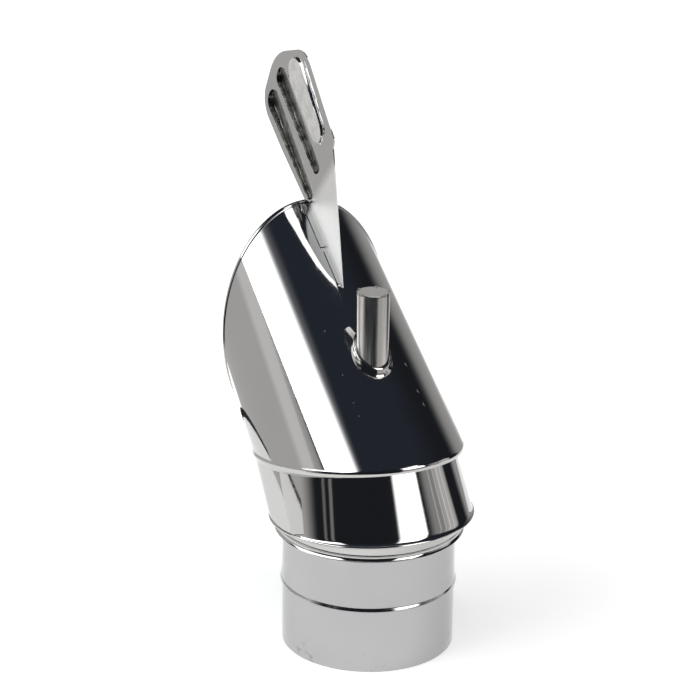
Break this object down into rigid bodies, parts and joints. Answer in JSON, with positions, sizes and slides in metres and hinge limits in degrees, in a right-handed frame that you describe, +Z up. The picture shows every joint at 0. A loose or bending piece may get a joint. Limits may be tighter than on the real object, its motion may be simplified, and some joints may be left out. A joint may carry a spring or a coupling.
{
  "type": "chimney cowl",
  "caption": "Wind-turned chimney cowl: a leaning polished hood with a pressed vane turns on a ball-bearing spindle above a round flue spigot with a stop bead.",
  "frame": {"origin": "centre of the flue spigot's lower edge", "axes": "+Z up along the spigot and the spindle; the hood's mouth faces -X at rest; the vane lies in the XZ plane"},
  "size_m": [0.291, 0.1786, 0.496],
  "materials": {
    "polished_steel": "mirror-polished stainless sheet",
    "satin_steel": "drawn tube, semi-bright",
    "plain_steel": "plain stainless",
    "bearing_steel": "ground bearing steel",
    "weld_steel": "as welded"
  },
  "bodies": {
    "base": {"spigot": "polished_steel", "lower_crossbar": "plain_steel", "upper_crossbar": "plain_steel", "spindle": "plain_steel", "lower_crossbar_nuts": "plain_steel", "upper_crossbar_nuts": "plain_steel", "bearing_nut": "plain_steel", "lower_inner_race": "bearing_steel", "inner_spacer": "plain_steel", "upper_inner_race": "bearing_steel", "spindle_nut": "plain_steel"},
    "hood": {"lower_outer_race": "bearing_steel", "outer_spacer": "plain_steel", "upper_outer_race": "bearing_steel", "lower_retaining_ring": "plain_steel", "upper_retaining_ring": "plain_steel", "bearing_tube": "satin_steel", "tube_cap": "satin_steel", "cap_tack_welds": "weld_steel", "tube_bracket": "plain_steel", "tube_lip": "polished_steel", "hood_ring": "polished_steel", "seam_bead": "polished_steel", "hood_barrel": "polished_steel", "mouth_hem": "polished_steel", "vane": "polished_steel", "vane_feet": "polished_steel"},
    "lower_cage": {"lower_ball_cage": "bearing_steel"},
    "upper_cage": {"upper_ball_cage": "bearing_steel"}
  },
  "joints": [
    {"name": "hood_turn", "type": "hinge", "parent": "base", "child": "hood", "pos_m": [0, 0, 0.24], "axis": [0, 0, 1], "continuous": true},
    {"name": "lower_cage_turn", "type": "hinge", "parent": "base", "child": "lower_cage", "pos_m": [0, 0, 0.186], "axis": [0, 0, 1], "continuous": true},
    {"name": "upper_cage_turn", "type": "hinge", "parent": "base", "child": "upper_cage", "pos_m": [0, 0, 0.302], "axis": [0, 0, 1], "continuous": true}
  ],
  "couplings": [
    {"joint": "lower_cage_turn", "follows": "hood_turn", "ratio": 0.6333},
    {"joint": "upper_cage_turn", "follows": "hood_turn", "ratio": 0.6333}
  ]
}
